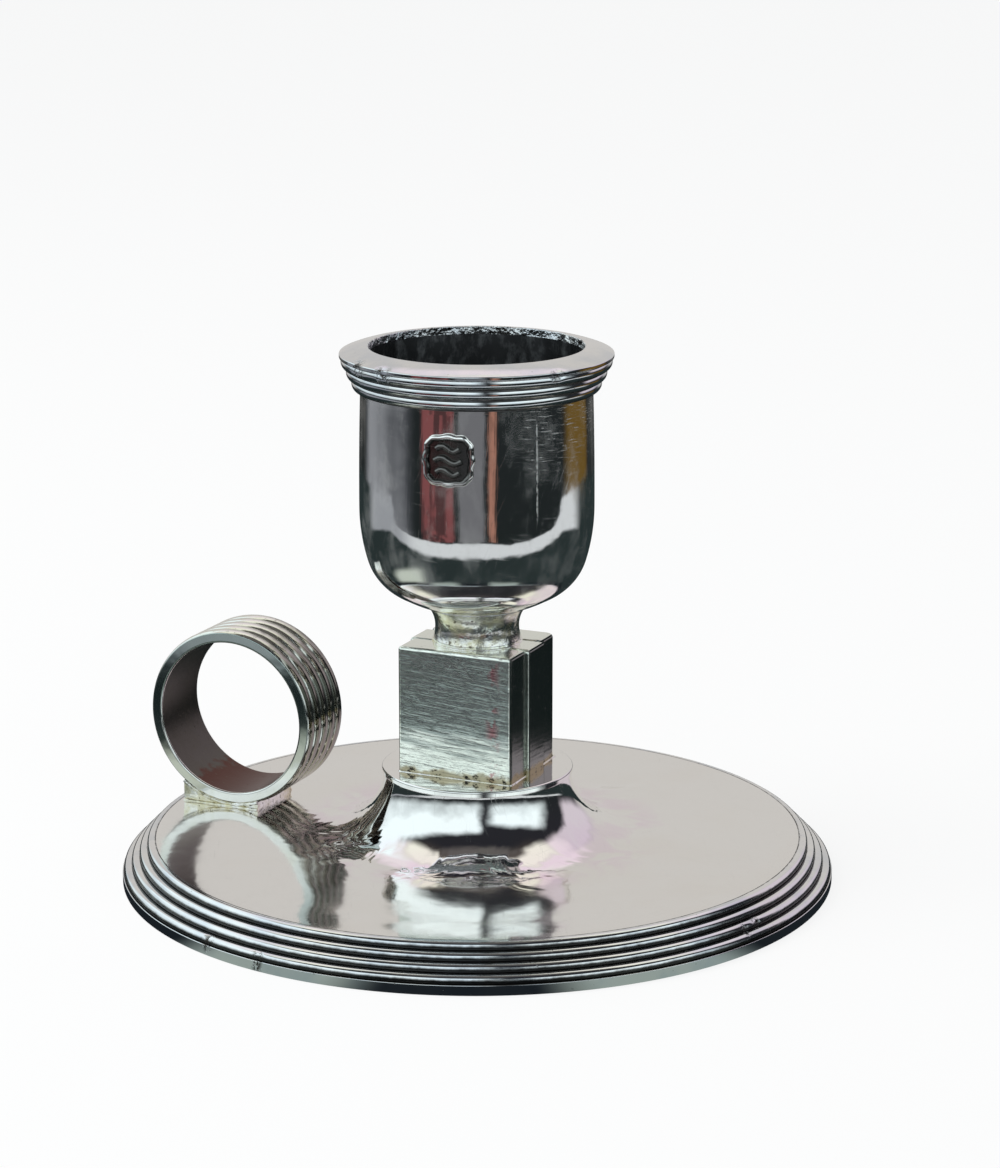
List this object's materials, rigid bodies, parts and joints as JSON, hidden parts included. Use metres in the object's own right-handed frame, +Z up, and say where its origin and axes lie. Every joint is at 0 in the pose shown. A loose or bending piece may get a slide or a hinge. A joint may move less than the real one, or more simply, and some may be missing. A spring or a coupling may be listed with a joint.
{
  "type": "chamberstick with finger loop",
  "caption": "Low silver chamberstick: round flat base with reeded border, trumpet foot, square slab stem, round-bottomed candle cup with reeded flange, upright reeded finger loop.",
  "frame": {"origin": "centre of the base's underside, on the surface it stands on", "axes": "+Z up along the candle's axis, -X towards the finger loop, -Y out of the front slab of the stem; the loop's own axis runs along Y"},
  "size_m": [0.076, 0.076, 0.0573],
  "materials": {
    "base_silver": "polished silver, mirror bright with fine scratches",
    "moulding_silver": "polished silver reeds with dark oxidised grooves",
    "stem_silver": "polished silver with cross file marks and tarnish at the joints",
    "cup_silver": "polished silver outside, darkened inside",
    "loop_silver": "polished silver band, worn grooves, tarnished at its foot"
  },
  "bodies": {
    "root": {"base_plate": "base_silver", "base_border_moulding": "moulding_silver", "foot_cap_disc": "base_silver", "front_stem_slab": "stem_silver", "middle_stem_slab": "stem_silver", "back_stem_slab": "stem_silver", "neck_collar": "stem_silver", "candle_cup": "cup_silver", "cup_rim_moulding": "moulding_silver", "finger_loop": "loop_silver", "loop_saddle_strip": "loop_silver", "loop_wedge_block": "loop_silver"}
  },
  "joints": []
}
